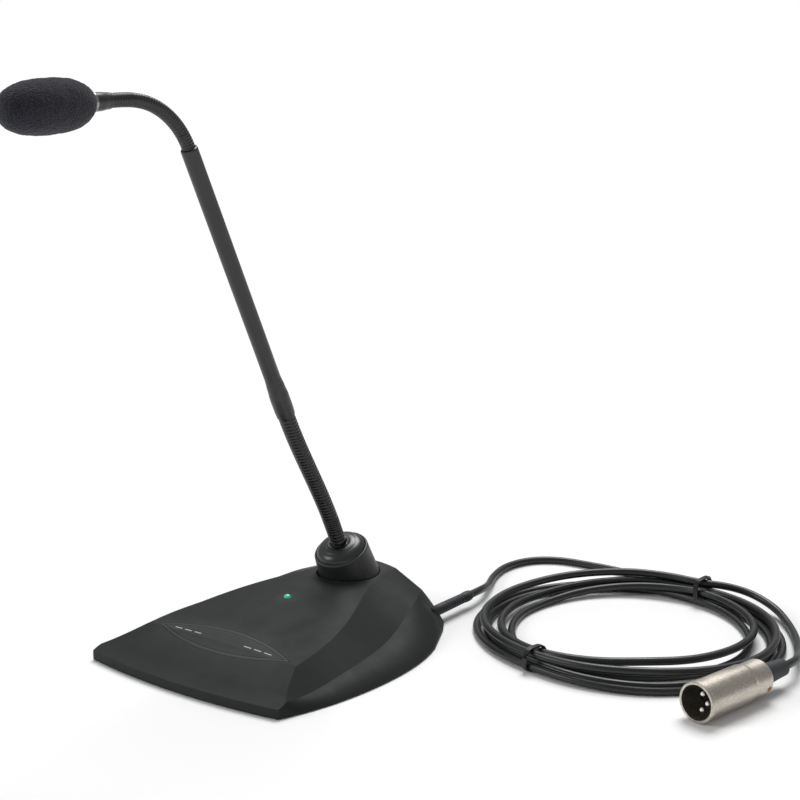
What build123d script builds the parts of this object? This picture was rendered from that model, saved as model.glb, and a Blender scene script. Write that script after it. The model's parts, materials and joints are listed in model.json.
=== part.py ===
"""Desktop gooseneck microphone: weighted base with a push button, bendable neck, foam head and tied lead.

Row frame: millimetres, +Z up, -Y towards the person speaking, +X to that person's right.
The origin is the middle of the base's underside.
"""
from build123d import *
import os
from math import atan2, cos, radians, sin, tan

os.makedirs("parts", exist_ok=True)

# ---------------------------------------------------------------- driving dimensions
WALL = 2.4                     # cover wall
LINING = 1.0                   # thickness of what is clipped under the cover wall
FOOT = 0.5                     # gap between the table and the cover's lower edge
LIP = 1.2                      # top of the upright lip round the cover's edge
RUNNING = 0.25                 # side clearance round the button
PAD_T = 0.8                    # rubber pad under the base
SHEET_T = 1.6                  # steel bottom sheet
SHEET_TOP = PAD_T + SHEET_T

# Cover stations: y, half-width at the foot, ledge (x, z), crest (x, z), crown's height, skirt's bulge
STATIONS = [
    (-88, 55.0, 54.0, 4.6, 49.5, 12.3, 12.8, 0.09),
    (-58, 66.9, 61.0, 6.0, 49.5, 14.2, 14.8, 0.09),
    (-30, 72.5, 60.6, 7.0, 46.8, 15.9, 18.2, 0.09),
    (0, 74.0, 57.9, 8.3, 40.3, 19.2, 22.0, 0.09),
    (30, 70.2, 50.7, 10.4, 28.3, 22.9, 25.0, 0.08),
    (55, 60.8, 42.8, 15.3, 18.8, 24.5, 26.3, 0.05),
    (70, 52.2, 36.6, 16.4, 16.3, 24.6, 26.2, 0.03),
    (90, 38.5, 24.0, 16.4, 11.5, 23.2, 25.2, 0.03),
]

NOSE_Y = -80.5                 # foremost point of the base
NOSE_R = 341.0                 # plan radius of the front edge
NOSE_TOP = 5.2                 # top of the front wall
BEVEL = 0.33                   # slope of the front bevel
REAR_Y = 80.5
REAR_R = 10.0                  # plan radius of the rear corners
REAR_DRAFT = 8.0

BUTTON_Y = -45.5
BEZEL_TIP, BEZEL_RISE = 43.6, 10.4     # half-length and half-width of the lens-shaped opening
BUTTON_TIP, BUTTON_RISE = 40.0, 8.2
PRESS = 0.8                            # button travel

LED_X, LED_Y = -3.6, 8.0
LED_R = 1.95

COLLAR_Y, COLLAR_Z = 47.8, 39.5        # centre of the collar's rim
NECK_LEAN = 24.5                       # lean of the collar towards the speaker
COLLAR_R = 14.7

LOWER_R, UPPER_R, TUBE_R = 4.35, 3.25, 4.1
LOWER_PITCH, UPPER_PITCH = 14.0, 9.0            # distance between flex joints
LOWER_LEANS = [27, 30, 31, 31, 29]              # lean of each lower flex link
TUBE_LEAN = 25.96
UPPER_LEANS = [39, 52, 64, 77, 87]              # lean of each upper flex link
HEAD_LEAN = 92.5
BALL_GAP = 0.15                                 # clearance between a link's ball and the next cup
TUBE_LENGTH = 157.8
UPPER_STUB = 5.0

CORD_R = 2.1
COIL_X, COIL_Y = 136.0, 119.0
COIL_OUTER, COIL_INNER, COIL_H = 82.0, 54.0, 15.5
PLUG_X, PLUG_Y, PLUG_TURN = 214.4, 40.0, 11.6   # plug face centre, and its turn away from +Y
PLUG_R, RIM_R = 9.5, 9.9
PLUG_LENGTH, BOOT_LENGTH = 48.0, 19.5


def finish(piece, name):
    """Label a finished piece and write it."""
    piece.part.label = name
    export_step(piece.part, f"parts/{name}.step")


def leaning_plane(y, z, lean):
    """Plane at (0, y, z) whose normal leans from +Z towards -Y by `lean` degrees."""
    tilt = radians(lean)
    return Plane(origin=(0, y, z), x_dir=(1, 0, 0), z_dir=(0, -sin(tilt), cos(tilt)))


def along(start, lean, distance):
    """Point `distance` along a line that leaves `start` with the given lean."""
    tilt = radians(lean)
    return (start[0] - distance * sin(tilt), start[1] + distance * cos(tilt))


def turned(plane, points):
    """Revolve a closed (radius, height) outline about the plane's normal."""
    with BuildPart() as body:
        with BuildSketch(Plane(origin=plane.origin, x_dir=plane.x_dir, z_dir=-plane.y_dir)):
            with BuildLine():
                Polyline(*points, close=True)
            make_face()
        revolve(axis=Axis(plane.origin, plane.z_dir))
    return body


def ring(plane, outer, inner, low, high):
    """Plain ring or, with inner 0, a plain disc."""
    return turned(plane, [(inner, low), (outer, low), (outer, high), (inner, high)])


def lens(tip, rise):
    """Lens-shaped outline on the XY plane, over the button's centre."""
    with BuildSketch(Plane.XY) as outline:
        with BuildLine():
            ThreePointArc((-tip, BUTTON_Y), (0, BUTTON_Y + rise), (tip, BUTTON_Y))
            ThreePointArc((-tip, BUTTON_Y), (0, BUTTON_Y - rise), (tip, BUTTON_Y))
        make_face()
    return outline.sketch


# ---------------------------------------------------------------- base cover
def cover_solid(inset):
    """Filled form of the base, shrunk by `inset` for the hollow inside."""
    bottom = FOOT if inset == 0 else -5.0
    with BuildPart() as body:
        for y, foot_x, ledge_x, ledge_z, crest_x, crest_z, crown_z, skirt in STATIONS:
            foot = (foot_x - inset, bottom)
            lip = (foot_x - inset, LIP - inset * 0.4)
            ledge = (ledge_x - inset * 0.5, ledge_z - inset)
            crest = (crest_x - inset * 0.3, crest_z - inset)
            chord = (Vector(*lip) - Vector(*ledge))
            bulge = Vector(-chord.Y, chord.X) * skirt
            swell = (Vector(*lip) + Vector(*ledge)) / 2 + bulge
            with BuildSketch(Plane.XZ.offset(-y)):
                with BuildLine():
                    Line((-foot[0], foot[1]), foot)
                    Line(foot, lip)
                    ThreePointArc(lip, (swell.X, swell.Y), ledge)
                    Line(ledge, crest)
                    ThreePointArc(crest, (0, crown_z - inset), (-crest[0], crest[1]))
                    Line((-crest[0], crest[1]), (-ledge[0], ledge[1]))
                    ThreePointArc((-ledge[0], ledge[1]), (-swell.X, swell.Y), (-lip[0], lip[1]))
                    Line((-lip[0], lip[1]), (-foot[0], foot[1]))
                make_face()
        loft()
        nose = NOSE_Y + inset
        brow = NOSE_TOP - inset
        axis_y = NOSE_Y + NOSE_R
        with BuildSketch(Plane.YZ):
            with BuildLine():
                Polyline(
                    (axis_y, -10), (nose - 0.3, -10), (nose + 0.3, brow),
                    (0, brow + BEVEL * -nose), (0, 60), (axis_y, 60), close=True,
                )
            make_face()
        revolve(axis=Axis((0, axis_y, 0), (0, 0, 1)), mode=Mode.INTERSECT)
        with BuildSketch(Plane.XY.offset(-10)) as plan:
            with BuildLine():
                ThreePointArc((51, 77), (0, 81.5), (-51, 77))
                Polyline((-51, 77), (-82, 14), (-82, -100), (82, -100), (82, 14), (51, 77))
            make_face()
            fillet([v for v in plan.vertices() if v.Y > 75], REAR_R)
            if inset:
                offset(amount=-inset, mode=Mode.REPLACE)
        extrude(amount=60, taper=REAR_DRAFT, mode=Mode.INTERSECT)
    return body.part


outer_form = cover_solid(0)
inner_form = cover_solid(WALL)
lining_form = cover_solid(WALL + LINING)

POSTS = [(-44, -20), (44, -20), (-34, 40), (34, 40)]      # screw posts under the cover
POST_R, PILOT_R = 3.6, 1.25
neck_plane = leaning_plane(COLLAR_Y, COLLAR_Z, NECK_LEAN)
GLAND_X, GLAND_Z = 44.5, 7.0
GLAND_R = 2.95

with BuildPart() as cover_posts:
    with BuildSketch(Plane.XY.offset(SHEET_TOP + 0.1)):
        with Locations(*POSTS):
            Circle(POST_R)
    extrude(amount=40)
    add(inner_form, mode=Mode.INTERSECT)

with BuildPart() as base_cover:
    add(outer_form)
    add(inner_form, mode=Mode.SUBTRACT)
    add(cover_posts.part)
    with BuildSketch(Plane.XY):
        with Locations(*POSTS):
            Circle(PILOT_R)
    extrude(amount=11, mode=Mode.SUBTRACT)
    add(lens(BEZEL_TIP, BEZEL_RISE))
    extrude(amount=40, mode=Mode.SUBTRACT)
    with BuildSketch(Plane.XY.offset(14)):
        with Locations((LED_X, LED_Y)):
            Circle(LED_R + 0.15)
    extrude(amount=30, mode=Mode.SUBTRACT)
    with BuildSketch(neck_plane.offset(-26)):
        Circle(COLLAR_R + 2.05)
    extrude(amount=40, mode=Mode.SUBTRACT)
    with BuildSketch(Plane.XZ.offset(-54)):
        with Locations((GLAND_X, GLAND_Z)):
            Circle(GLAND_R + 0.05)
    extrude(amount=-40, mode=Mode.SUBTRACT)
finish(base_cover, "base_cover")

# ---------------------------------------------------------------- button and its bezel
with BuildPart() as button_bezel:
    add(lens(BEZEL_TIP - 0.5, BEZEL_RISE - 0.2))
    extrude(amount=40)
    add(outer_form, mode=Mode.INTERSECT)
    add(inner_form, mode=Mode.SUBTRACT)
    with BuildPart(mode=Mode.PRIVATE) as flange:
        add(lens(BEZEL_TIP + 1.6, BEZEL_RISE + 1.4))
        extrude(amount=40)
        add(inner_form, mode=Mode.INTERSECT)
        add(lining_form, mode=Mode.SUBTRACT)
    add(flange.part)
    add(lens(BUTTON_TIP, BUTTON_RISE))
    extrude(amount=40, mode=Mode.SUBTRACT)
finish(button_bezel, "button_bezel")

STEM_BOTTOM = 10.2
with BuildPart() as push_button:
    add(lens(BUTTON_TIP - 3 * RUNNING, BUTTON_RISE - RUNNING))
    extrude(amount=40)
    add(outer_form, mode=Mode.INTERSECT)
    add(lining_form, mode=Mode.SUBTRACT)
    with BuildPart(mode=Mode.PRIVATE) as stem:
        with BuildSketch(Plane.XY.offset(STEM_BOTTOM)):
            with Locations((0, BUTTON_Y)):
                Circle(2.6)
        extrude(amount=20)
        add(inner_form, mode=Mode.INTERSECT)
    add(stem.part)
finish(push_button, "push_button")

DASHES = [-29.5, -23.0, -16.5, 16.5, 23.0, 29.5]          # printed marks along the button
DASH_L, DASH_W, PRINT_T = 4.6, 0.8, 0.06
with BuildPart() as print_skin:
    with BuildSketch(Plane.XY):
        with Locations(*[(x, BUTTON_Y) for x in DASHES]):
            Rectangle(DASH_L, DASH_W)
    extrude(amount=40)
    add(outer_form, mode=Mode.INTERSECT)
with BuildPart() as button_marks:
    add(print_skin.part.moved(Location((0, 0, PRINT_T))))
    add(outer_form, mode=Mode.SUBTRACT)
finish(button_marks, "button_marks")

# ---------------------------------------------------------------- underside
def underside(inset):
    """Plan of the pad under the bottom sheet."""
    with BuildSketch(Plane.XY) as plan:
        with BuildLine():
            right = [(x - inset, y) for y, x, *_ in STATIONS[1:-1]]
            front = (STATIONS[1][1] - 6.4 - inset, -74.0 + inset)
            side = Spline((front[0], front[1]), *right, (46.4 - inset, 70.0))
            rear = Polyline(side @ 1, (41.0 - inset, 78.0 - inset), (0, 79.5 - inset))
            nose = ThreePointArc((0, NOSE_Y + inset), (30, NOSE_Y + inset + 1.3), side @ 0)
            mirror(side, about=Plane.YZ)
            mirror(rear, about=Plane.YZ)
            mirror(nose, about=Plane.YZ)
        make_face()
    return plan.sketch


with BuildPart() as base_plate:
    with BuildSketch(Plane.XY.offset(PAD_T)):
        Rectangle(180, 200)
    extrude(amount=SHEET_T)
    add(cover_solid(WALL + 0.5), mode=Mode.INTERSECT)
    with BuildSketch(Plane.XY):
        with Locations(*POSTS):
            Circle(1.7)
    extrude(amount=SHEET_TOP + 1, mode=Mode.SUBTRACT)
    with BuildSketch(Plane.XY):
        with Locations(*POSTS):
            Circle(3.1)
    extrude(amount=PAD_T + 0.9, mode=Mode.SUBTRACT)
finish(base_plate, "base_plate")

with BuildPart() as rubber_pad:
    add(underside(7.5))
    extrude(amount=PAD_T)
finish(rubber_pad, "rubber_pad")

with BuildPart() as base_plate_screws:
    with BuildSketch(Plane.XY.offset(PAD_T + 0.05)) as heads:
        with Locations(*POSTS):
            Circle(2.9)
    extrude(amount=0.8)
    with BuildSketch(Plane.XY.offset(PAD_T + 0.8)):
        with Locations(*POSTS):
            Circle(PILOT_R - 0.05)
    extrude(amount=7.4)
    with BuildSketch(Plane.XY.offset(PAD_T + 0.05)):
        with Locations(*POSTS):
            Rectangle(3.2, 0.6)
            Rectangle(0.6, 3.2)
    extrude(amount=0.4, mode=Mode.SUBTRACT)
finish(base_plate_screws, "base_plate_screws")

with BuildPart() as ballast_weight:
    with BuildSketch(Plane.XY.offset(SHEET_TOP)):
        with Locations((0, 16)):
            RectangleRounded(62, 44, 5)
    extrude(amount=7)
    chamfer(ballast_weight.faces().sort_by(Axis.Z)[-1].edges(), 0.8)
    with BuildSketch(Plane.XY.offset(SHEET_TOP)):
        with Locations((-20, 30), (20, 30)):
            Circle(2.0)
    extrude(amount=8, mode=Mode.SUBTRACT)
finish(ballast_weight, "ballast_weight")

with BuildPart() as ballast_screws:
    with BuildSketch(Plane.XY.offset(SHEET_TOP + 0.1)):
        with Locations((-20, 30), (20, 30)):
            Circle(1.8)
    extrude(amount=7.5)
    with BuildSketch(Plane.XY.offset(SHEET_TOP + 7.05)):
        with Locations((-20, 30), (20, 30)):
            Circle(3.2)
    extrude(amount=1.8)
    with BuildSketch(Plane.XY.offset(SHEET_TOP + 8.0)):
        with Locations((-20, 30), (20, 30)):
            Rectangle(4.0, 0.7)
            Rectangle(0.7, 4.0)
    extrude(amount=2, mode=Mode.SUBTRACT)
finish(ballast_screws, "ballast_screws")

# ---------------------------------------------------------------- electronics
BOARD_LOW, BOARD_T = 4.9, 1.4
BOARD_TOP = BOARD_LOW + BOARD_T
BOARD_HOLES = [(-29, -58), (29, -58), (-29, -14), (29, -14)]

with BuildPart() as board_spacers:
    with BuildSketch(Plane.XY.offset(SHEET_TOP)):
        with Locations(*BOARD_HOLES):
            RegularPolygon(2.7, 6)
    extrude(amount=BOARD_LOW - SHEET_TOP)
    with BuildSketch(Plane.XY.offset(SHEET_TOP)):
        with Locations(*BOARD_HOLES):
            Circle(1.0)
    extrude(amount=BOARD_LOW - SHEET_TOP, mode=Mode.SUBTRACT)
finish(board_spacers, "board_spacers")

with BuildPart() as circuit_board:
    with BuildSketch(Plane.XY.offset(BOARD_LOW)):
        with Locations((0, -36)):
            RectangleRounded(66, 52, 2)
        with Locations(*BOARD_HOLES):
            Circle(1.1, mode=Mode.SUBTRACT)
    extrude(amount=BOARD_T)
finish(circuit_board, "circuit_board")

with BuildPart() as board_screws:
    with BuildSketch(Plane.XY.offset(SHEET_TOP + 0.1)):
        with Locations(*BOARD_HOLES):
            Circle(0.95)
    extrude(amount=BOARD_TOP - SHEET_TOP)
    with BuildSketch(Plane.XY.offset(BOARD_TOP + 0.02)):
        with Locations(*BOARD_HOLES):
            Circle(2.0)
    extrude(amount=1.2)
finish(board_screws, "board_screws")

with BuildPart() as switch_housing:
    with BuildSketch(Plane.XY.offset(BOARD_TOP)):
        with Locations((0, BUTTON_Y)):
            RectangleRounded(6, 6, 0.4)
    extrude(amount=3.0)
    with BuildSketch(Plane.XY.offset(BOARD_TOP + 1.0)):
        with Locations((0, BUTTON_Y)):
            Circle(1.75)
    extrude(amount=2.5, mode=Mode.SUBTRACT)
finish(switch_housing, "switch_housing")

with BuildPart() as switch_plunger:
    with BuildSketch(Plane.XY.offset(BOARD_TOP + 2.0)):
        with Locations((0, BUTTON_Y)):
            Circle(1.7)
    extrude(amount=STEM_BOTTOM - 0.1 - BOARD_TOP - 2.0)
finish(switch_plunger, "switch_plunger")

with BuildPart() as board_parts:
    with BuildSketch(Plane.XY.offset(BOARD_TOP + 0.02)):
        with Locations((-14, -30)):
            Rectangle(8, 10)
        with Locations((14, -28)):
            Rectangle(5, 6)
        with GridLocations(5.2, 6.5, 3, 1):
            with Locations((-2, -22)):
                Rectangle(3.2, 1.6)
    extrude(amount=1.5)
    with BuildSketch(Plane.XY.offset(BOARD_TOP + 0.02)):
        with Locations((-24, -42), (24, -42)):
            Circle(2.5)
    extrude(amount=4.4)
finish(board_parts, "board_parts")

with BuildPart() as lead_header:
    with BuildSketch(Plane.XY.offset(BOARD_TOP + 0.02)):
        with Locations((22, -18)):
            Rectangle(10, 5)
    extrude(amount=5)
    with BuildSketch(Plane.XY.offset(BOARD_TOP + 1.2)):
        with Locations((22, -18)):
            Rectangle(8.4, 3.4)
    extrude(amount=5, mode=Mode.SUBTRACT)
finish(lead_header, "lead_header")

LED_TOP, DOME = 22.9, 1.1
with BuildPart() as status_led:
    with BuildSketch(Plane(origin=(LED_X, LED_Y, 0), x_dir=(1, 0, 0), z_dir=(0, -1, 0))):
        with BuildLine():
            Polyline(
                (0, LED_TOP), (0, 14.5), (2.5, 14.5), (2.5, 15.5), (LED_R, 15.5), (LED_R, LED_TOP - DOME),
            )
            half_dome = atan2(2 * LED_R * DOME, LED_R ** 2 - DOME ** 2) / 2
            dome_r = (LED_R ** 2 + DOME ** 2) / (2 * DOME)
            shoulder = (dome_r * sin(half_dome), LED_TOP - dome_r * (1 - cos(half_dome)))
            ThreePointArc((LED_R, LED_TOP - DOME), shoulder, (0, LED_TOP))
        make_face()
    revolve(axis=Axis((LED_X, LED_Y, 0), (0, 0, 1)))
finish(status_led, "status_led")

with BuildPart() as led_holder:
    with BuildSketch(Plane.XY.offset(SHEET_TOP + 7.0)):
        with Locations((LED_X, LED_Y)):
            Circle(3.2)
            Circle(1.2, mode=Mode.SUBTRACT)
    extrude(amount=14.45 - SHEET_TOP - 7.0)
finish(led_holder, "led_holder")

# ---------------------------------------------------------------- collar, cap and neck anchor
neck_collar = turned(neck_plane, [
    (9.0, -24), (16.55, -24), (COLLAR_R, -0.7), (COLLAR_R - 0.35, -0.15), (COLLAR_R - 0.7, 0),
    (13.75, 0), (13.75, -4), (9.0, -4),
])
finish(neck_collar, "neck_collar")

with BuildPart() as neck_cap:
    with BuildSketch(Plane(origin=neck_plane.origin, x_dir=neck_plane.x_dir, z_dir=-neck_plane.y_dir)):
        with BuildLine():
            Polyline((4.75, 3.6), (4.75, -4), (13.4, -4), (13.4, -0.2))
            ThreePointArc((13.4, -0.2), (12.0, 2.1), (9.4, 3.6))
            ThreePointArc((9.4, 3.6), (7.6, 4.35), (6.3, 4.5))
            Polyline((6.3, 4.5), (6.3, 3.6), (4.75, 3.6))
        make_face()
    revolve(axis=Axis(neck_plane.origin, neck_plane.z_dir))
finish(neck_cap, "neck_cap")

entry_ring = ring(neck_plane, 6.1, 4.75, 3.65, 4.9)
finish(entry_ring, "entry_ring")

ANCHOR_TOP = 15.0                # first flex joint, above the collar's rim


def cup_and_ball(plane, radius, length, ball=True, low=0.0, bore=0.0):
    """One flex link: a ball about its own joint, and a cup for the next link's ball."""
    cup = radius + BALL_GAP
    rim = length - (cup ** 2 - radius ** 2) ** 0.5
    with BuildPart() as link:
        with BuildSketch(Plane(origin=plane.origin, x_dir=plane.x_dir, z_dir=-plane.y_dir)):
            with BuildLine():
                half = cos(radians(45))
                if ball:
                    ThreePointArc((0, -radius), (radius * half, -radius * half), (radius, 0))
                    Line((radius, 0), (radius, rim))
                else:
                    Polyline((0, low), (radius, low), (radius, rim))
                ThreePointArc((radius, rim), (cup * half, length - cup * half), (0, length - cup))
                Line((0, length - cup), (0, -radius if ball else low))
            make_face()
        revolve(axis=Axis(plane.origin, plane.z_dir))
    return link


neck_anchor = cup_and_ball(neck_plane, LOWER_R, ANCHOR_TOP, ball=False, low=-16.0)
finish(neck_anchor, "neck_anchor")

with BuildPart() as anchor_nut:
    with BuildSketch(neck_plane.offset(-9.5)):
        RegularPolygon(8.1, 6)
        Circle(LOWER_R + 0.02, mode=Mode.SUBTRACT)
    extrude(amount=5.4)
finish(anchor_nut, "anchor_nut")

# ---------------------------------------------------------------- lower flex, tube, upper flex
joint = along((COLLAR_Y, COLLAR_Z), NECK_LEAN, ANCHOR_TOP)
print("lower flex joints")
for number, lean in enumerate(LOWER_LEANS, start=1):
    print("  neck joint", number, [round(v, 3) for v in joint])
    link = cup_and_ball(leaning_plane(*joint, lean), LOWER_R, LOWER_PITCH)
    finish(link, f"lower_link_{number}")
    joint = along(joint, lean, LOWER_PITCH)
print("  tube joint", [round(v, 3) for v in joint])

tube_foot = joint
tube_plane = leaning_plane(*tube_foot, TUBE_LEAN)
SLEEVE_LOW, SLEEVE_HIGH = 7.5, 30.0
with BuildPart() as tube_sleeve:
    with BuildSketch(Plane(origin=tube_plane.origin, x_dir=tube_plane.x_dir, z_dir=-tube_plane.y_dir)):
        with BuildLine():
            half = cos(radians(45))
            ThreePointArc((0, -LOWER_R), (LOWER_R * half, -LOWER_R * half), (LOWER_R, 0))
            Polyline((LOWER_R, 0), (LOWER_R, SLEEVE_LOW), (4.75, SLEEVE_LOW + 0.8), (4.95, 16.0))
            ThreePointArc((4.95, 16.0), (4.7, 23.5), (TUBE_R + 0.1, SLEEVE_HIGH))
            Polyline(
                (TUBE_R + 0.1, SLEEVE_HIGH), (TUBE_R, SLEEVE_HIGH), (TUBE_R, SLEEVE_LOW + 4),
                (0, SLEEVE_LOW + 4), (0, -LOWER_R),
            )
        make_face()
    revolve(axis=Axis(tube_plane.origin, tube_plane.z_dir))
finish(tube_sleeve, "tube_sleeve")

TUBE_BORE = 3.4
tube_top = TUBE_LENGTH
rigid_tube = ring(tube_plane, TUBE_R, TUBE_BORE, SLEEVE_LOW + 4, tube_top)
finish(rigid_tube, "rigid_tube")

tube_plug = turned(tube_plane, [
    (0, tube_top - 14), (TUBE_BORE - 0.02, tube_top - 14), (TUBE_BORE - 0.02, tube_top),
    (TUBE_R, tube_top), (TUBE_R - 0.15, tube_top + 0.7), (UPPER_R + 0.1, tube_top + 0.9), (0, tube_top + 0.9),
])
finish(tube_plug, "tube_plug")

joint = along(tube_foot, TUBE_LEAN, tube_top)
stub_plane = leaning_plane(*joint, TUBE_LEAN)
upper_stub = cup_and_ball(stub_plane, UPPER_R, UPPER_STUB, ball=False, low=0.9)
finish(upper_stub, "upper_stub")
joint = along(joint, TUBE_LEAN, UPPER_STUB)
print("upper flex joints")
for number, lean in enumerate(UPPER_LEANS, start=1):
    print("  flex joint", number, [round(v, 3) for v in joint])
    link = cup_and_ball(leaning_plane(*joint, lean), UPPER_R, UPPER_PITCH)
    finish(link, f"upper_link_{number}")
    joint = along(joint, lean, UPPER_PITCH)
print("  head joint", [round(v, 3) for v in joint])

# ---------------------------------------------------------------- head
head_plane = leaning_plane(*joint, HEAD_LEAN)
COLLAR_LOW, HOUSING_LOW, HOUSING_HIGH = 7.5, 17.5, 45.0
HOUSING_R, HOUSING_BORE = 4.6, 3.9
with BuildPart() as mic_collar:
    with BuildSketch(Plane(origin=head_plane.origin, x_dir=head_plane.x_dir, z_dir=-head_plane.y_dir)):
        with BuildLine():
            half = cos(radians(45))
            ThreePointArc((0, -UPPER_R), (UPPER_R * half, -UPPER_R * half), (UPPER_R, 0))
            Polyline(
                (UPPER_R, 0), (UPPER_R, COLLAR_LOW), (3.7, COLLAR_LOW + 0.4), (3.85, COLLAR_LOW + 4.0),
                (4.1, COLLAR_LOW + 5.2), (4.1, HOUSING_LOW), (3.0, HOUSING_LOW), (3.0, HOUSING_LOW + 5),
                (0, HOUSING_LOW + 5), (0, -UPPER_R),
            )
        make_face()
    revolve(axis=Axis(head_plane.origin, head_plane.z_dir))
finish(mic_collar, "mic_collar")

with BuildPart() as capsule_housing:
    add(ring(head_plane, HOUSING_R, 3.02, HOUSING_LOW, HOUSING_HIGH).part)
    add(ring(head_plane, HOUSING_BORE, 0, HOUSING_LOW + 6, HOUSING_HIGH).part, mode=Mode.SUBTRACT)
    for height in (34.0, 38.0):
        with BuildSketch(head_plane.offset(height)):
            with PolarLocations(HOUSING_R, 6):
                Rectangle(3.4, 1.2)
        extrude(amount=1.6, mode=Mode.SUBTRACT)
finish(capsule_housing, "capsule_housing")

capsule_element = ring(head_plane, HOUSING_BORE - 0.05, 0, 28.0, 33.5)
finish(capsule_element, "capsule_element")

with BuildPart() as capsule_grille:
    add(ring(head_plane, HOUSING_R, 0, HOUSING_HIGH, HOUSING_HIGH + 1.2).part)
    with BuildSketch(head_plane.offset(HOUSING_HIGH - 0.1)):
        Circle(0.45)
        with PolarLocations(1.6, 6):
            Circle(0.45)
        with PolarLocations(3.1, 12):
            Circle(0.45)
    extrude(amount=1.5, mode=Mode.SUBTRACT)
finish(capsule_grille, "capsule_grille")

FOAM_MID, FOAM_HALF, FOAM_R, FOAM_REAR = 42.5, 24.4, 11.8, 19.6
FOAM_BLUNT = 2.35                # exponent of the egg's outline; 2 is an ellipse
FOAM_BORE, FOAM_BORE_END = HOUSING_R + 0.08, HOUSING_HIGH + 2.0


def foam_radius(height):
    """Radius of the foam at a height along the head's axis."""
    return FOAM_R * max(0.0, 1 - abs((height - FOAM_MID) / FOAM_HALF) ** FOAM_BLUNT) ** (1 / FOAM_BLUNT)


FOAM_TIP = FOAM_MID + FOAM_HALF
foam_heights = [FOAM_REAR + 0.1, 21.0, 23.0, 26.5, 31.5, 37, FOAM_MID, 48, 53.5, 58.5, 62.5, 65, 66.3]
with BuildPart() as foam_windscreen:
    with BuildSketch(Plane(origin=head_plane.origin, x_dir=head_plane.x_dir, z_dir=-head_plane.y_dir)):
        with BuildLine():
            outline = Spline(*[(foam_radius(h), h) for h in foam_heights], (0, FOAM_TIP),
                             tangents=[(1.2, 1), (-1, 0)])
            Polyline(
                (0, FOAM_TIP), (0, FOAM_BORE_END), (FOAM_BORE, FOAM_BORE_END), (FOAM_BORE, FOAM_REAR),
                (foam_radius(foam_heights[0]) - 0.1, FOAM_REAR), outline @ 0,
            )
        make_face()
    revolve(axis=Axis(head_plane.origin, head_plane.z_dir))
finish(foam_windscreen, "foam_windscreen")

# ---------------------------------------------------------------- lead: relief, tubes, coil, ties
RELIEF_LENGTH = 29.0
relief_plane = Plane(origin=(GLAND_X, REAR_Y - 2.5, GLAND_Z), x_dir=(1, 0, 0), z_dir=(0, 1, 0))
strain_relief = turned(relief_plane, [
    (0, -23), (3.4, -23), (3.4, -21.4), (GLAND_R, -21.4), (GLAND_R, 2), (2.75, RELIEF_LENGTH - 6.5),
    (2.95, RELIEF_LENGTH - 6), (2.95, RELIEF_LENGTH - 3), (2.35, RELIEF_LENGTH - 0.6),
    (2.2, RELIEF_LENGTH), (0, RELIEF_LENGTH),
])
finish(strain_relief, "strain_relief")


def cord_tube(points, name):
    """Plain tube along straight runs joined by tangent arcs as large as the runs allow."""
    runs = [(Vector(*b) - Vector(*a)) for a, b in zip(points, points[1:])]
    radii = []
    for before, after in zip(runs, runs[1:]):
        half_turn = radians(before.get_angle(after)) / 2
        radii.append(0.45 * min(before.length, after.length) / tan(half_turn))
    print(name, "radii", [round(r, 1) for r in radii], "in diameters", round(min(radii) / (2 * CORD_R), 1))
    with BuildPart() as tube:
        with BuildLine() as path:
            FilletPolyline(*points, radius=radii)
        with BuildSketch(Plane(origin=path.line @ 0, z_dir=path.line % 0)):
            Circle(CORD_R)
        sweep()
    length = path.wires()[0].length
    ratio = tube.part.volume / (3.14159 * CORD_R ** 2 * length)
    print("  length", round(length, 1), "volume ratio", round(ratio, 4))
    return tube


LEAD_ROUTE = [
    (GLAND_X, REAR_Y - 2.5 + RELIEF_LENGTH, 7.0), (GLAND_X, 118.5, 7.0), (38.5, 134.0, 3.6),
    (29.5, 152.0, 2.15),
    (25.0, 172.0, 2.15), (29.5, 191.0, 2.15), (43.5, 202.5, 2.15), (62.0, 204.0, 2.15), (80.0, 206.5, 2.5),
    (97.0, 202.0, 3.5), (110.0, 194.0, 5.0),
]
cable_lead = cord_tube(LEAD_ROUTE, "cable_lead")
finish(cable_lead, "cable_lead")

turn = radians(PLUG_TURN)
plug_plane = Plane(origin=(PLUG_X, PLUG_Y, RIM_R + 0.02), x_dir=(cos(turn), -sin(turn), 0),
                   z_dir=(sin(turn), cos(turn), 0))
boot_end = plug_plane.origin + plug_plane.z_dir * (PLUG_LENGTH + BOOT_LENGTH)
after_boot = boot_end + plug_plane.z_dir * 9
TAIL_ROUTE = [
    (boot_end.X, boot_end.Y, boot_end.Z), (after_boot.X, after_boot.Y, after_boot.Z), (229.5, 131.0, 7.2),
    (221.0, 148.0, 3.6), (211.0, 165.0, 2.6), (199.0, 181.0, 2.6), (185.0, 194.0, 4.5), (169.0, 199.5, 7.5),
    (155.5, 198.0, 9.3),
]
cable_tail = cord_tube(TAIL_ROUTE, "cable_tail")
finish(cable_tail, "cable_tail")

TIE_WIDTH, TIE_T, TIE_TOP = 4.0, 1.2, COIL_H + 0.6
TIES = [(-102.0, 63.0, 77.0), (84.0, 59.0, 81.0)]          # bearing, inner and outer edge of each tie


def tie_slice(bearing, inner, outer, trim, width):
    """Rounded block across the coil's bundle, `trim` inside the tie's outside."""
    spin = radians(bearing)
    across = Plane(
        origin=(COIL_X, COIL_Y, 0), x_dir=(cos(spin), sin(spin), 0), z_dir=(sin(spin), -cos(spin), 0),
    )
    with BuildPart() as block:
        with BuildSketch(across.offset(-width / 2)):
            with Locations(((inner + outer) / 2, TIE_TOP / 2)):
                RectangleRounded(outer - inner - 2 * trim, TIE_TOP - 2 * trim, 4.0 - trim)
        extrude(amount=width)
    return block.part


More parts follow.
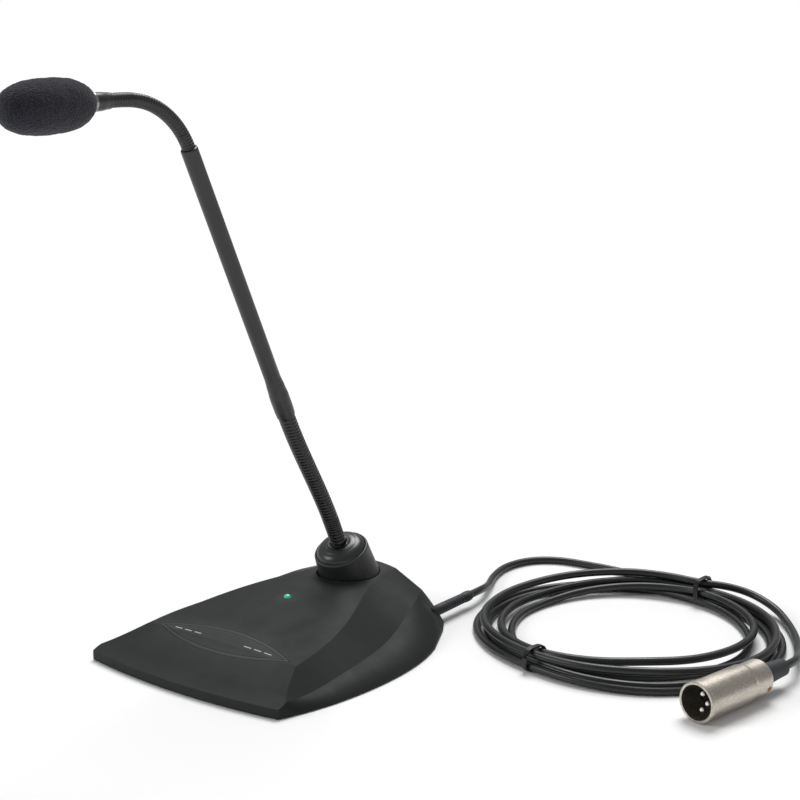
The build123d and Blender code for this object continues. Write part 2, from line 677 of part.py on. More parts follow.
with BuildPart() as cable_coil:
    with BuildSketch(Plane.XY):
        with Locations((COIL_X, COIL_Y)):
            Circle(COIL_OUTER)
            Circle(COIL_INNER, mode=Mode.SUBTRACT)
    extrude(amount=COIL_H)
    fillet(cable_coil.edges().group_by(Axis.Z)[-1], 4.0)
    for bearing, inner, outer in TIES:
        spin = radians(bearing)
        mid = (COIL_X + 70 * cos(spin), COIL_Y + 70 * sin(spin))
        with BuildSketch(Plane(origin=(*mid, -1), x_dir=(cos(spin), sin(spin), 0), z_dir=(0, 0, 1))):
            Rectangle(40, TIE_WIDTH + 0.4)
        extrude(amount=20, mode=Mode.SUBTRACT)
        add(tie_slice(bearing, inner, outer, TIE_T + 0.05, TIE_WIDTH + 0.6))
finish(cable_coil, "cable_coil")

for number, (bearing, inner, outer) in enumerate(TIES, start=1):
    with BuildPart() as tie:
        add(tie_slice(bearing, inner, outer, 0, TIE_WIDTH))
        add(tie_slice(bearing, inner, outer, TIE_T, TIE_WIDTH + 2), mode=Mode.SUBTRACT)
    finish(tie, f"cable_tie_{number}")

# ---------------------------------------------------------------- plug
SOCKET_R, SOCKET_DEPTH = 8.5, 13.5
shell_form = turned(plug_plane, [
    (SOCKET_R, 0), (RIM_R - 0.3, 0), (RIM_R, 0.3), (RIM_R, 2.6), (PLUG_R, 3.1), (PLUG_R, 34),
    (PLUG_R - 0.5, 36),
    (PLUG_R - 0.5, PLUG_LENGTH - 1), (PLUG_R - 1.2, PLUG_LENGTH), (6.0, PLUG_LENGTH),
    (6.0, PLUG_LENGTH - 4), (SOCKET_R, PLUG_LENGTH - 6),
])
dip = radians(18)
screw_out = plug_plane.x_dir * cos(dip) - Vector(0, 0, 1) * sin(dip)
screw_seat = Plane(
    origin=plug_plane.origin + plug_plane.z_dir * 44.6 + screw_out * 7.6, x_dir=plug_plane.z_dir,
    z_dir=screw_out,
)
with BuildPart() as plug_shell:
    add(shell_form.part)
    with BuildSketch(screw_seat.offset(-0.05)):
        Circle(1.6)
    extrude(amount=3, mode=Mode.SUBTRACT)
finish(plug_shell, "plug_shell")

with BuildPart() as plug_screw:
    with BuildSketch(screw_seat):
        Circle(1.5)
    extrude(amount=1.1)
    with BuildSketch(screw_seat.offset(0.7)):
        Rectangle(2.2, 0.45)
        Rectangle(0.45, 2.2)
    extrude(amount=1, mode=Mode.SUBTRACT)
finish(plug_screw, "plug_screw")

plug_insert = ring(plug_plane, SOCKET_R - 0.05, 0, SOCKET_DEPTH, 30)
finish(plug_insert, "plug_insert")

PIN_R, PIN_CIRCLE = 1.18, 4.0
with BuildPart() as plug_pins:
    with BuildSketch(plug_plane.offset(2.6)):
        with Locations(*[(PIN_CIRCLE * cos(radians(a)), PIN_CIRCLE * sin(radians(a))) for a in (75, 0, -75)]):
            Circle(PIN_R)
    extrude(amount=SOCKET_DEPTH - 2.6 - 0.02)
    rims = plug_pins.edges().filter_by(GeomType.CIRCLE)
    chamfer(rims.sort_by(Axis(plug_plane.origin, plug_plane.z_dir))[:3], 0.45)
finish(plug_pins, "plug_pins")

plug_boot = turned(plug_plane, [
    (0, PLUG_LENGTH - 3.9), (5.9, PLUG_LENGTH - 3.9), (5.9, PLUG_LENGTH + 1), (5.3, PLUG_LENGTH + 4),
    (4.6, PLUG_LENGTH + 13), (4.3, PLUG_LENGTH + BOOT_LENGTH - 0.8), (3.4, PLUG_LENGTH + BOOT_LENGTH),
    (0, PLUG_LENGTH + BOOT_LENGTH),
])
finish(plug_boot, "plug_boot")
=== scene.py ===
import bpy
import json
import math
from mathutils import Matrix, Vector, noise


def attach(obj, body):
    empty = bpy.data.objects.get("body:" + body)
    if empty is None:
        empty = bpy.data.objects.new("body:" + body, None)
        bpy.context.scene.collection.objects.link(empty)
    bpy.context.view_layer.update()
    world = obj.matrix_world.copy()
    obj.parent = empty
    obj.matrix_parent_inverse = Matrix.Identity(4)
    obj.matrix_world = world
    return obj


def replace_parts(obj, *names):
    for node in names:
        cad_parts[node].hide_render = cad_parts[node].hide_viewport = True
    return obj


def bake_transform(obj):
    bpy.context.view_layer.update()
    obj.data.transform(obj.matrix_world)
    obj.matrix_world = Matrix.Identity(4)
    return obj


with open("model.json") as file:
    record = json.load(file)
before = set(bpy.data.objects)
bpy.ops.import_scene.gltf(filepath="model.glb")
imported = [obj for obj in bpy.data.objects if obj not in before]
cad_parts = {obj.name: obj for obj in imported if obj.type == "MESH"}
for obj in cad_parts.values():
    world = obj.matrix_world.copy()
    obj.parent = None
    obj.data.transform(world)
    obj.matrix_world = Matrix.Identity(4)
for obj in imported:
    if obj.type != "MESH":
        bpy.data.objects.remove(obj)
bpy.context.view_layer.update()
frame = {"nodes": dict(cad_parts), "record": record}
scene = bpy.context.scene
nodes = frame["nodes"]
MM = 0.001


# ------------------------------------------------------------------ camera
LENS = 73.05                                    # mm on a 36 mm wide sensor
AZIMUTH, ELEVATION, ROLL = 36.45, 12.508, 0.485   # degrees
EYE = (518.02, -601.36, 305.33)                 # mm


def place_camera():
    data = bpy.data.cameras.new("camera")
    data.lens = LENS
    data.sensor_width = 36.0
    data.clip_start = 0.05
    data.clip_end = 20.0
    cam = bpy.data.objects.new("camera", data)
    scene.collection.objects.link(cam)
    azimuth, elevation, roll = math.radians(AZIMUTH), math.radians(ELEVATION), math.radians(ROLL)
    flat = math.cos(elevation)
    back = Vector((math.sin(azimuth) * flat, -math.cos(azimuth) * flat, math.sin(elevation)))
    level = Vector((math.cos(azimuth), math.sin(azimuth), 0))
    rise = back.cross(level)
    right = level * math.cos(roll) + rise * math.sin(roll)
    up = rise * math.cos(roll) - level * math.sin(roll)
    turn = Matrix((right, up, back)).transposed().to_4x4()
    cam.matrix_world = Matrix.Translation(Vector(EYE) * MM) @ turn
    scene.camera = cam


place_camera()


# ------------------------------------------------------------------ helpers
def leaning(y, z, lean):
    """Frame at (0, y, z) mm whose third axis leans from +Z towards -Y."""
    t = math.radians(lean)
    out = Vector((0, -math.sin(t), math.cos(t)))
    side = Vector((1, 0, 0))
    return Vector((0, y, z)), side, out.cross(side), out


def link_mesh(name, verts, faces, smooth=True):
    mesh = bpy.data.meshes.new(name)
    mesh.from_pydata([tuple(v) for v in verts], [], faces)
    mesh.validate()
    mesh.update()
    if smooth:
        mesh.polygons.foreach_set("use_smooth", [True] * len(mesh.polygons))
    obj = bpy.data.objects.new(name, mesh)
    scene.collection.objects.link(obj)
    return obj


def tube_faces(rings, count):
    """Quads between rings of `count` vertices, with a cap at each end."""
    faces = []
    for r in range(rings - 1):
        a0, b0 = r * count, (r + 1) * count
        for i in range(count):
            j = (i + 1) % count
            faces.append((a0 + i, a0 + j, b0 + j, b0 + i))
    faces.append(tuple(reversed(range(count))))
    faces.append(tuple((rings - 1) * count + i for i in range(count)))
    return faces


def revolve(name, axes, profile, count=64):
    """Surface of revolution of (radius, height) mm points; zero radii at the ends close it."""
    origin, side, up, out = axes
    verts = []
    rings = len(profile)
    for radius, height in profile:
        for i in range(count):
            angle = 2 * math.pi * i / count
            spoke = side * math.cos(angle) + up * math.sin(angle)
            verts.append((origin + out * height + spoke * radius) * MM)
    return link_mesh(name, verts, tube_faces(rings, count))


def nurbs(name, points, radius):
    """Round NURBS tube; the bevel is 1 and each point carries the radius, so that bounds are true."""
    data = bpy.data.curves.new(name, "CURVE")
    data.dimensions = "3D"
    data.resolution_u = 6
    data.bevel_depth = 1.0
    data.bevel_resolution = 5
    data.use_fill_caps = True
    line = data.splines.new("NURBS")
    line.points.add(len(points) - 1)
    for point, target in zip(line.points, points):
        point.co = (target[0] * MM, target[1] * MM, target[2] * MM, 1)
        point.radius = radius * MM
    line.order_u = 3
    line.use_endpoint_u = True
    line.use_smooth = True
    obj = bpy.data.objects.new(name, data)
    scene.collection.objects.link(obj)
    return obj


# ------------------------------------------------------------------ cable
CORD_R = 2.1
COIL = (136.0, 119.0)
PLUG_TURN = math.radians(11.6)
PLUG_FACE = Vector((214.4, 40.0, 9.92))
PLUG_OUT = Vector((math.sin(PLUG_TURN), math.cos(PLUG_TURN), 0))
PLUG_SIDE = Vector((math.cos(PLUG_TURN), -math.sin(PLUG_TURN), 0))
BOOT_END = PLUG_FACE + PLUG_OUT * 67.5

lead = [
    (44.5, 107.0, 7.0), (44.5, 118.5, 7.0), (38.5, 134.0, 3.6), (29.5, 152.0, 2.15),
    (25.0, 172.0, 2.15), (29.5, 191.0, 2.15), (43.5, 202.5, 2.15), (62.0, 205.0, 2.15),
    (80.0, 206.5, 2.2), (97.0, 204.5, 2.3), (112.0, 201.5, 2.6), (128.0, 198.2, 3.0),
]
# Each turn's distance from the coil's middle and height, clockwise from the upper tie
BEARINGS = [84, 39, -6, -54, -102, -150, -195, -240]
TURNS = [
    [
        (76.0, 3.4), (79.5, 2.1), (80.5, 2.1), (79.5, 2.1),
        (74.4, 3.4), (80.5, 2.1), (80.5, 2.1), (78.5, 2.1),
    ],
    [
        (71.2, 3.4), (73.5, 2.1), (74.5, 2.1), (73.0, 2.1),
        (70.0, 3.4), (74.5, 2.1), (75.0, 2.1), (72.0, 2.1),
    ],
    [
        (66.4, 3.4), (63.0, 2.1), (63.0, 2.1), (60.5, 2.1),
        (65.6, 3.4), (61.0, 2.1), (60.5, 2.1), (66.0, 5.5),
    ],
    [
        (68.8, 7.6), (66.5, 7.4), (61.0, 8.5), (58.5, 9.5),
        (67.8, 8.4), (67.0, 5.0), (67.5, 4.4), (70.5, 7.6),
    ],
    [
        (73.6, 7.6), (76.0, 8.4), (77.5, 8.5), (74.5, 10.5),
        (72.6, 8.8), (77.0, 8.5), (72.0, 10.3), (73.0, 11.8),
    ],
]
LAST = (71.2, 11.8)
SPREAD = 1.012


def coil_point(bearing, radius, height):
    angle = math.radians(bearing)
    reach = radius * SPREAD
    return (COIL[0] + reach * math.cos(angle), COIL[1] + reach * math.sin(angle), height)


coil = []
for n, turn in enumerate(TURNS):
    following = TURNS[n + 1][0] if n + 1 < len(TURNS) else LAST
    for k, (bearing, (radius, height)) in enumerate(zip(BEARINGS, turn)):
        after = turn[k + 1] if k + 1 < len(turn) else following
        next_bearing = BEARINGS[k + 1] if k + 1 < len(turn) else BEARINGS[0] - 360
        halfway = ((bearing + next_bearing) / 2, (radius + after[0]) / 2, (height + after[1]) / 2)
        coil.append(coil_point(bearing, radius, height))
        coil.append(coil_point(*halfway))
coil.append(coil_point(BEARINGS[0], *LAST))
tail = [
    (156.0, 198.5, 10.3), (169.0, 201.5, 7.8), (185.0, 196.0, 4.6), (199.0, 181.5, 2.7),
    (210.0, 165.0, 2.7), (218.5, 148.0, 3.8), (225.5, 131.0, 7.0),
    tuple(BOOT_END + PLUG_OUT * 10), tuple(BOOT_END - PLUG_OUT * 0.5),
]
cable = nurbs("cable", lead + coil + tail, CORD_R)
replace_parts(cable, "cable_lead", "cable_coil", "cable_tail")
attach(cable, "base")


# ------------------------------------------------------------------ materials
def material(name, colour, rough, metallic=0.0, specular=0.5, coat=0.0, sheen=0.0):
    mat = bpy.data.materials.new(name)
    mat.use_nodes = True
    shader = mat.node_tree.nodes["Principled BSDF"]
    shader.inputs["Base Color"].default_value = (*colour, 1)
    shader.inputs["Roughness"].default_value = rough
    shader.inputs["Metallic"].default_value = metallic
    shader.inputs["Specular IOR Level"].default_value = specular
    shader.inputs["Coat Weight"].default_value = coat
    shader.inputs["Sheen Weight"].default_value = sheen
    return mat, shader


def add_noise(mat, kind, scale, detail=4.0, stretch=None):
    """A texture in object space, returned as its output socket."""
    tree = mat.node_tree
    place = tree.nodes.new("ShaderNodeTexCoord")
    if kind == "voronoi":
        tex = tree.nodes.new("ShaderNodeTexVoronoi")
        tex.inputs["Scale"].default_value = scale
        socket = tex.outputs["Distance"]
    else:
        tex = tree.nodes.new("ShaderNodeTexNoise")
        tex.inputs["Scale"].default_value = scale
        tex.inputs["Detail"].default_value = detail
        socket = tex.outputs["Fac"]
    if stretch:
        mapping = tree.nodes.new("ShaderNodeMapping")
        mapping.inputs["Scale"].default_value = stretch
        tree.links.new(place.outputs["Object"], mapping.inputs["Vector"])
        tree.links.new(mapping.outputs["Vector"], tex.inputs["Vector"])
    else:
        tree.links.new(place.outputs["Object"], tex.inputs["Vector"])
    return socket


def ramp(mat, socket, low, high, lo_at=0.3, hi_at=0.7):
    tree = mat.node_tree
    node = tree.nodes.new("ShaderNodeValToRGB")
    node.color_ramp.elements[0].position = lo_at
    node.color_ramp.elements[1].position = hi_at
    node.color_ramp.elements[0].color = (*low, 1)
    node.color_ramp.elements[1].color = (*high, 1)
    tree.links.new(socket, node.inputs["Fac"])
    return node.outputs["Color"]


def spread(mat, socket, low, high):
    node = mat.node_tree.nodes.new("ShaderNodeMapRange")
    node.inputs["From Min"].default_value = 0.3
    node.inputs["From Max"].default_value = 0.7
    node.inputs["To Min"].default_value = low
    node.inputs["To Max"].default_value = high
    mat.node_tree.links.new(socket, node.inputs["Value"])
    return node.outputs["Result"]


def bump(mat, shader, sockets):
    """Chain of bumps: (socket, strength, distance in mm)."""
    tree = mat.node_tree
    last = None
    for socket, strength, distance in sockets:
        node = tree.nodes.new("ShaderNodeBump")
        node.inputs["Strength"].default_value = strength
        node.inputs["Distance"].default_value = distance * MM
        tree.links.new(socket, node.inputs["Height"])
        if last:
            tree.links.new(last, node.inputs["Normal"])
        last = node.outputs["Normal"]
    tree.links.new(last, shader.inputs["Normal"])


def grained(name, colour, rough, grain=0.12, grain_scale=2600, vary=0.12, specular=0.5, coat=0.0, edge_highlight=0.0):
    """Moulded plastic: fine spark-eroded grain, soft tone drift, uneven sheen, and a painted highlight: a
    paler colour on convex edges.
    """
    mat, shader = material(name, colour, rough, specular=specular, coat=coat)
    tree = mat.node_tree
    drift = add_noise(mat, "noise", 28, 3)
    dark = tuple(c * (1 - vary) for c in colour)
    pale = tuple(c * (1 + vary) for c in colour)
    tone = ramp(mat, drift, dark, pale)
    # Painted highlight: convex edges, found by pointiness, are mixed towards a paler colour to stand in for
    # light caught on rounded edges and ridges.
    if edge_highlight:
        geometry = tree.nodes.new("ShaderNodeNewGeometry")
        highlight_mask = tree.nodes.new("ShaderNodeMapRange")
        highlight_mask.inputs["From Min"].default_value = 0.53
        highlight_mask.inputs["From Max"].default_value = 0.62
        highlight_mask.inputs["To Max"].default_value = edge_highlight
        tree.links.new(geometry.outputs["Pointiness"], highlight_mask.inputs["Value"])
        mix = tree.nodes.new("ShaderNodeMix")
        mix.data_type = "RGBA"
        mix.inputs[7].default_value = (*[min(1, c * 2.2 + 0.03) for c in colour], 1)
        tree.links.new(highlight_mask.outputs["Result"], mix.inputs[0])
        tree.links.new(tone, mix.inputs[6])
        tone = mix.outputs[2]
    tree.links.new(tone, shader.inputs["Base Color"])
    smear = add_noise(mat, "noise", 75, 6)
    tree.links.new(spread(mat, smear, rough - 0.06, rough + 0.08), shader.inputs["Roughness"])
    fine = add_noise(mat, "noise", grain_scale, 2)
    pits = add_noise(mat, "voronoi", grain_scale * 0.6)
    bump(mat, shader, [(fine, grain, 0.05), (pits, grain * 0.7, 0.04)])
    return mat


def metal(name, colour, rough, speck=0.1, scratch=(60, 60, 900), specular=0.5):
    mat, shader = material(name, colour, rough, metallic=1.0, specular=specular)
    tree = mat.node_tree
    fine = add_noise(mat, "noise", 1500, 3)
    drift = add_noise(mat, "noise", 90, 5)
    low, high = tuple(c * (1 - speck) for c in colour), tuple(min(1, c * (1 + speck)) for c in colour)
    tree.links.new(ramp(mat, fine, low, high, 0.35, 0.65), shader.inputs["Base Color"])
    tree.links.new(spread(mat, drift, rough - 0.05, rough + 0.08), shader.inputs["Roughness"])
    lines = add_noise(mat, "noise", 6, 4, stretch=scratch)
    bump(mat, shader, [(fine, 0.12, 0.03), (lines, 0.05, 0.02)])
    return mat


# Several of these plastics get a painted highlight on their convex edges; its strength is the edge weight
# passed in.
cover_mat = grained("cover_plastic", (0.0155, 0.0178, 0.0165), 0.54, grain=0.22, edge_highlight=0.3, specular=0.15)
button_mat = grained("button_plastic", (0.0160, 0.0183, 0.0172), 0.48, grain=0.16, edge_highlight=0.2, specular=0.2)
bezel_mat = grained("bezel_plastic", (0.014, 0.016, 0.015), 0.42, grain=0.1, edge_highlight=0.4, specular=0.25)
collar_mat = grained("collar_plastic", (0.021, 0.022, 0.0215), 0.44, grain=0.15, edge_highlight=0.5)
cap_mat = grained("cap_plastic", (0.020, 0.023, 0.023), 0.34, grain=0.08, edge_highlight=0.3, specular=0.5)
relief_mat = grained("relief_rubber", (0.020, 0.0235, 0.028), 0.58, grain=0.25, grain_scale=1800)
jacket_mat = grained("cable_jacket", (0.0095, 0.0105, 0.0115), 0.36, grain=0.14, grain_scale=1500, vary=0.2)
tie_mat = grained("tie_plastic", (0.006, 0.006, 0.0065), 0.4, grain=0.1)
insert_mat = grained("insert_black", (0.008, 0.008, 0.009), 0.42, grain=0.1)
chip_mat = grained("chip_black", (0.012, 0.012, 0.012), 0.55)
header_mat = grained("header_white", (0.62, 0.60, 0.52), 0.45, vary=0.05)
board_mat = grained("board_green", (0.012, 0.085, 0.035), 0.3, grain=0.1, grain_scale=600, coat=0.3)
pad_mat = grained("pad_rubber", (0.014, 0.014, 0.014), 0.8, grain=0.5, grain_scale=900)
print_mat = grained("silver_print", (0.36, 0.37, 0.375), 0.4, grain=0.1, vary=0.1)
tube_mat = grained("tube_paint", (0.0165, 0.0165, 0.0175), 0.36, grain=0.14, grain_scale=2200, specular=0.5)
flex_mat = grained("flex_paint", (0.0135, 0.0135, 0.0145), 0.35, grain=0.15, grain_scale=2200, edge_highlight=0.35)
nickel_mat = metal("nickel", (0.53, 0.49, 0.43), 0.36, speck=0.2)
pin_mat = metal("pin_metal", (0.80, 0.78, 0.72), 0.2, speck=0.04)
brass_mat = metal("screw_brass", (0.50, 0.30, 0.20), 0.35, speck=0.15)
ring_mat = metal("ring_metal", (0.16, 0.165, 0.17), 0.2, speck=0.04)
steel_mat = metal("steel_sheet", (0.45, 0.45, 0.46), 0.38, speck=0.12)
screw_mat = metal("screw_steel", (0.35, 0.35, 0.36), 0.32, speck=0.1)
iron_mat = metal("ballast_iron", (0.17, 0.17, 0.17), 0.6, speck=0.3)
capsule_mat = metal("capsule_metal", (0.30, 0.30, 0.32), 0.32, speck=0.08)


def foam_material():
    mat, shader = material("foam", (0.0115, 0.0118, 0.0175), 0.95, specular=0.18, sheen=0.12)
    shader.inputs["Sheen Roughness"].default_value = 0.6
    tree = mat.node_tree
    cells = add_noise(mat, "voronoi", 1250)
    tone = ramp(mat, cells, (0.004, 0.004, 0.0065), (0.021, 0.0215, 0.030), 0.1, 0.6)
    tree.links.new(tone, shader.inputs["Base Color"])
    rough = add_noise(mat, "noise", 900, 5)
    bump(mat, shader, [(cells, 0.9, 0.35), (rough, 0.5, 0.3)])
    return mat


def led_material():
    mat, shader = material("led_green", (0.012, 0.16, 0.10), 0.16, specular=0.6, coat=0.5)
    shader.inputs["Transmission Weight"].default_value = 0.35
    shader.inputs["Emission Color"].default_value = (0.02, 0.5, 0.34, 1)
    shader.inputs["Emission Strength"].default_value = 0.55
    tree = mat.node_tree
    glow = add_noise(mat, "noise", 700, 2)
    tree.links.new(ramp(mat, glow, (0.008, 0.12, 0.075), (0.03, 0.28, 0.19)), shader.inputs["Base Color"])
    return mat


foam_mat = foam_material()
led_mat = led_material()

SLOT_MATERIALS = {
    "cover_plastic": cover_mat, "bezel_plastic": bezel_mat, "button_plastic": button_mat,
    "silver_print": print_mat, "steel_sheet": steel_mat, "pad_rubber": pad_mat, "screw_steel": screw_mat,
    "ballast_iron": iron_mat, "board_green": board_mat, "chip_black": chip_mat, "header_white": header_mat,
    "switch_black": chip_mat, "led_green": led_mat, "collar_plastic": collar_mat, "cap_plastic": cap_mat,
    "ring_metal": ring_mat, "flex_paint": flex_mat, "tube_paint": tube_mat, "capsule_metal": capsule_mat,
    "foam": foam_mat, "relief_rubber": relief_mat, "cable_jacket": jacket_mat, "tie_plastic": tie_mat,
    "nickel": nickel_mat, "insert_black": insert_mat, "pin_metal": pin_mat, "screw_brass": brass_mat,
}
for part in frame["record"]["subparts"]:
    node = nodes[part["node"]]
    node.data.materials.clear()
    node.data.materials.append(SLOT_MATERIALS[part["material_slot"]])


def dress(obj, slot, body=None):
    obj.data.materials.clear()
    obj.data.materials.append(SLOT_MATERIALS[slot])
    if body:
        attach(obj, body)
    return obj


cable.data.materials.append(jacket_mat)


# ------------------------------------------------------------------ ridged flexible necks
COLLAR = Vector((47.8, 39.5))


def along(start, lean, distance):
    t = math.radians(lean)
    return Vector((start[0] - distance * math.sin(t), start[1] + distance * math.cos(t)))


def chain(start, leans, pitch):
    joints = [start]
    for lean in leans:
        joints.append(along(joints[-1], lean, pitch))
    return joints


lower = chain(along(COLLAR, 24.5, 15.0), [27, 30, 31, 31, 29], 14.0)
upper_start = along(lower[-1], 25.96, 157.8 + 5.0)
upper = chain(upper_start, [39, 52, 64, 77, 87], 9.0)


def ridged(name, before, joint, after, radius, depth, pitch, travelled, hand=1):
    """Wound flexible tube over one joint: a helical ridge that follows a curve from `before` to `after`."""
    a, b, c = Vector(before), Vector(joint), Vector(after)
    length = ((b - a).length + (c - b).length) * 0.995
    rings, count = max(12, int(length / pitch * 8)), 48
    verts = []
    for r in range(rings + 1):
        t = r / rings
        middle = a * (1 - t) ** 2 + b * (2 * t * (1 - t)) + c * t ** 2
        run = ((b - a) * (1 - t) + (c - b) * t).normalized()
        across = Vector((run.y, -run.x))
        for i in range(count):
            angle = 2 * math.pi * i / count
            phase = (travelled + t * length) / pitch + hand * angle / (2 * math.pi)
            swell = abs(math.sin(math.pi * phase)) ** 0.7
            reach = radius - depth * (1 - swell)
            flat = across * (math.sin(angle) * reach)
            verts.append(Vector((math.cos(angle) * reach, middle.x + flat.x, middle.y + flat.y)) * MM)
    return link_mesh(name, verts, tube_faces(rings + 1, count)), travelled + length


def flex(prefix, first, joints, last, radius, depth, pitch, replaced):
    travelled = 0.0
    middles = [first] + [(p + q) / 2 for p, q in zip(joints, joints[1:])] + [last]
    for n, joint in enumerate(joints):
        before, after = middles[n], middles[n + 1]
        name = f"{prefix}_{n + 1}"
        piece, travelled = ridged(name, before, joint, after, radius, depth, pitch, travelled)
        dress(piece, "flex_paint")
        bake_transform(piece)
        if replaced[n]:
            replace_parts(piece, *replaced[n])


flex(
    "lower_flex", along(COLLAR, 24.5, -3.0), lower, along(lower[-1], 25.96, 8.4), 4.35, 0.42, 1.95,
    [["neck_anchor"]] + [[f"lower_link_{n}"] for n in range(1, 6)],
)
flex(
    "upper_flex", along(upper_start, 25.96, -4.4), upper, along(upper[-1], 92.5, 8.0), 3.25, 0.36, 1.45,
    [["upper_stub"]] + [[f"upper_link_{n}"] for n in range(1, 6)],
)

# Sleeve at the straight tube's foot and the collar behind the foam, with softly turned shoulders
TUBE_LEAN, HEAD_LEAN = 25.96, 92.5
tube_axes = leaning(lower[-1].x, lower[-1].y, TUBE_LEAN)
head_axes = leaning(upper[-1].x, upper[-1].y, HEAD_LEAN)


def eased(points, steps):
    """Profile through (radius, height) stations with smooth shoulders."""
    made = []
    for (r0, h0), (r1, h1) in zip(points, points[1:]):
        for k in range(steps):
            t = k / steps
            made.append((r0 + (r1 - r0) * t * t * (3 - 2 * t), h0 + (h1 - h0) * t))
    made.append(points[-1])
    return made


sleeve = revolve("tube_sleeve_skin", tube_axes, eased([
    (3.0, 7.0), (4.2, 7.1), (4.75, 7.9), (4.93, 12.0), (4.95, 19.0), (4.55, 25.0), (4.18, 29.7),
    (4.11, 30.2), (3.0, 30.25),
], 6))
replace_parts(dress(sleeve, "tube_paint", "tube"), "tube_sleeve")
collar = revolve("mic_collar_skin", head_axes, eased([
    (2.0, 7.2), (3.2, 7.25), (3.62, 7.9), (3.7, 10.0), (3.95, 11.8), (4.08, 13.2), (4.08, 22.0),
    (2.0, 22.1),
], 6))
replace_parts(dress(collar, "tube_paint", "head"), "mic_collar")


# ------------------------------------------------------------------ foam windscreen
def build_foam():
    mid, half, radius, rear, bore, bore_end = 42.5, 24.3, 11.7, 19.7, 4.68, 46.9
    power = 2 / 2.5
    profile = [(0.02, bore_end)] + [(bore, bore_end - 3.0 * k) for k in range(9)]
    profile += [(bore, rear + 0.5), (bore + 0.1, rear + 0.1), (bore + 0.25, rear)]
    start = math.acos(((mid - rear) / half) ** (1 / power))
    stations = 150
    for k in range(stations + 1):
        t = start + (math.pi - start) * k / stations
        across = max(0.0, math.sin(t)) ** power
        reach = math.copysign(abs(math.cos(t)) ** power, math.cos(t))
        profile.append((max(0.02, radius * across), mid - half * reach))
    foam = revolve("foam_windscreen_skin", head_axes, profile, count=220)
    origin, side, up, out = head_axes
    mesh = foam.data
    for v in mesh.vertices:
        p = v.co / MM - origin
        height = p.dot(out)
        radial = p - out * height
        inside = radial.length < bore + 0.3 and height < bore_end + 0.5
        if inside:
            continue
        soft = noise.noise(p * 0.22) * 0.22
        pores = noise.voronoi(p * 0.95)[0][0] - 0.45
        fuzz = noise.noise(p * 2.6) * 0.5
        gap = radial.length / radius
        normal = (radial / radius ** 2 + out * ((height - mid) / half ** 2)).normalized()
        v.co += normal * (soft + pores * 0.26 + fuzz * 0.16 - 0.12) * min(1, 0.3 + gap) * MM
    return foam


foam = build_foam()
dress(foam, "foam", "windscreen")
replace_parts(foam, "foam_windscreen")


# ------------------------------------------------------------------ strain relief
relief_axes = (Vector((44.5, 78.0, 7.0)), Vector((1, 0, 0)), Vector((0, 0, 1)), Vector((0, 1, 0)))
relief_shape = [(1.5, -9.0), (2.9, -8.9)]
for k in range(7):
    high = 4.5 + k * 2.5
    body = 2.93 - 0.03 * k
    groove = body - 0.22
    relief_shape += [(body, high - 1.3), (body, high - 0.45), (groove, high - 0.3), (groove, high + 0.3)]
    relief_shape += [(body, high + 0.45)]
relief_shape += [
    (2.75, 22.3), (2.93, 22.9), (2.95, 26.0), (2.75, 27.2), (2.35, 28.6), (2.16, 28.95), (1.6, 29.0),
]
relief = revolve("strain_relief_skin", relief_axes, relief_shape, count=48)
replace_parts(dress(relief, "relief_rubber", "base"), "strain_relief")


# ------------------------------------------------------------------ indicator lens, just above the cover
lens_axes = (Vector((-3.6, 8.0, 0)), Vector((1, 0, 0)), Vector((0, 1, 0)), Vector((0, 0, 1)))
LENS_R, LENS_LOW, LENS_TOP, LENS_DOME = 1.9, 19.0, 22.9, 1.25
lens_shape = [(0.02, LENS_LOW), (LENS_R, LENS_LOW), (LENS_R, LENS_TOP)]
for degrees in range(10, 91, 10):
    a = math.radians(degrees)
    lens_shape.append((max(0.02, LENS_R * math.cos(a)), LENS_TOP + LENS_DOME * math.sin(a)))
lens = revolve("status_led_lens", lens_axes, lens_shape, count=40)
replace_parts(dress(lens, "led_green", "base"), "status_led")


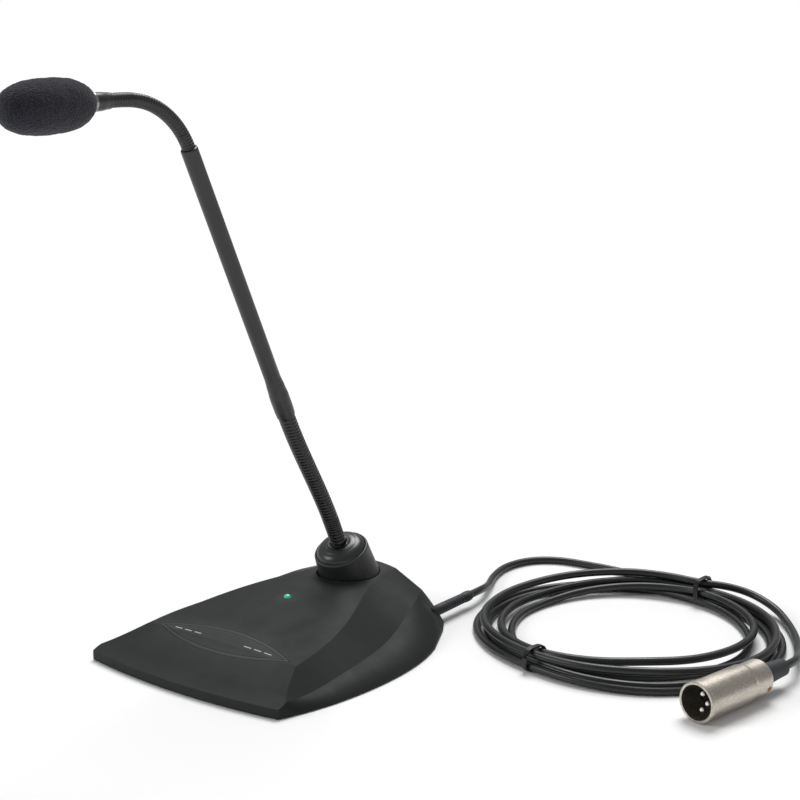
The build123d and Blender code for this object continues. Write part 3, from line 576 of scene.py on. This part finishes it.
# ------------------------------------------------------------------ ties: wound wire with twisted ends
def tie(name, bearing, inner, outer, top, node):
    angle = math.radians(bearing)
    outward = Vector((math.cos(angle), math.sin(angle), 0))
    forward = Vector((math.sin(angle), -math.cos(angle), 0))
    middle = Vector((COIL[0], COIL[1], 0)) + outward * ((inner + outer) / 2)
    wide, tall, base_z = (outer - inner) / 2 - 0.75, (top - 1.4) / 2, (top + 0.2) / 2
    points = []
    steps = 22
    loops = 3
    for k in range(steps * loops + 1):
        t = k / steps
        around = 2 * math.pi * t - math.pi / 2
        square = 0.62
        x = math.copysign(abs(math.cos(around)) ** square, math.cos(around)) * wide
        z = math.copysign(abs(math.sin(around)) ** square, math.sin(around)) * tall
        drift = (t / loops - 0.5) * 2.6 + 0.3 * math.sin(3 * around + loops)
        points.append(middle + outward * x + forward * drift + Vector((0, 0, base_z + z)))
    end = points[-1]
    for k in range(1, 15):
        twist = k * 1.15
        spot = end + outward * (k * 0.32) + Vector((0, 0, -0.1))
        lift = Vector((0, 0, 0.5 + 0.35 * math.cos(twist)))
        points.append(spot + forward * (0.75 * math.sin(twist)) + lift)
    verts, rings, count, radius = [], len(points), 10, 0.62
    for k, point in enumerate(points):
        run = (points[min(k + 1, rings - 1)] - points[max(k - 1, 0)]).normalized()
        first = run.cross(Vector((0.13, 0.27, 0.95))).normalized()
        second = run.cross(first)
        for i in range(count):
            around = 2 * math.pi * i / count
            spot = point + (first * math.cos(around) + second * math.sin(around)) * radius
            spot.z = max(spot.z, 0.05)
            verts.append(spot * MM)
    made = link_mesh(name, verts, tube_faces(rings, count))
    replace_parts(dress(made, "tie_plastic", "base"), node)
    return made


tie("cable_tie_1_wire", -102.0, 62.9, 78.6, 12.6, "cable_tie_1")
tie("cable_tie_2_wire", 84.0, 63.8, 80.5, 15.4, "cable_tie_2")


# ------------------------------------------------------------------ floor, lights, world
def build_studio():
    corners = [(-40, -40, 0), (40, -40, 0), (40, 60, 0), (-40, 60, 0)]
    floor = link_mesh("floor", corners, [(0, 1, 2, 3)], smooth=False)
    mat, shader = material("floor", (0.93, 0.93, 0.93), 0.9, specular=0.0)
    floor.data.materials.append(mat)
    world = bpy.data.worlds.new("studio")
    scene.world = world
    world.use_nodes = True
    tree = world.node_tree
    backdrop = tree.nodes["Background"]
    backdrop.inputs["Color"].default_value = (1, 1, 1, 1)
    backdrop.inputs["Strength"].default_value = 1.0
    fill = tree.nodes.new("ShaderNodeBackground")
    fill.inputs["Color"].default_value = (1, 1, 1, 1)
    fill.inputs["Strength"].default_value = 0.33
    path = tree.nodes.new("ShaderNodeLightPath")
    mix = tree.nodes.new("ShaderNodeMixShader")
    tree.links.new(path.outputs["Is Camera Ray"], mix.inputs[0])
    tree.links.new(fill.outputs[0], mix.inputs[1])
    tree.links.new(backdrop.outputs[0], mix.inputs[2])
    tree.links.new(mix.outputs[0], tree.nodes["World Output"].inputs["Surface"])
    suns = [
        ("sky", (-26, -15, 0), 34, 2.4),
        ("key", (42, -50, 0), 22, 0.75),
    ]
    for name, turn, soft, power in suns:
        data = bpy.data.lights.new(name, "SUN")
        data.angle = math.radians(soft)
        data.energy = power
        lamp = bpy.data.objects.new(name, data)
        scene.collection.objects.link(lamp)
        lamp.rotation_euler = [math.radians(v) for v in turn]
    scene.view_settings.view_transform = "Standard"


build_studio()
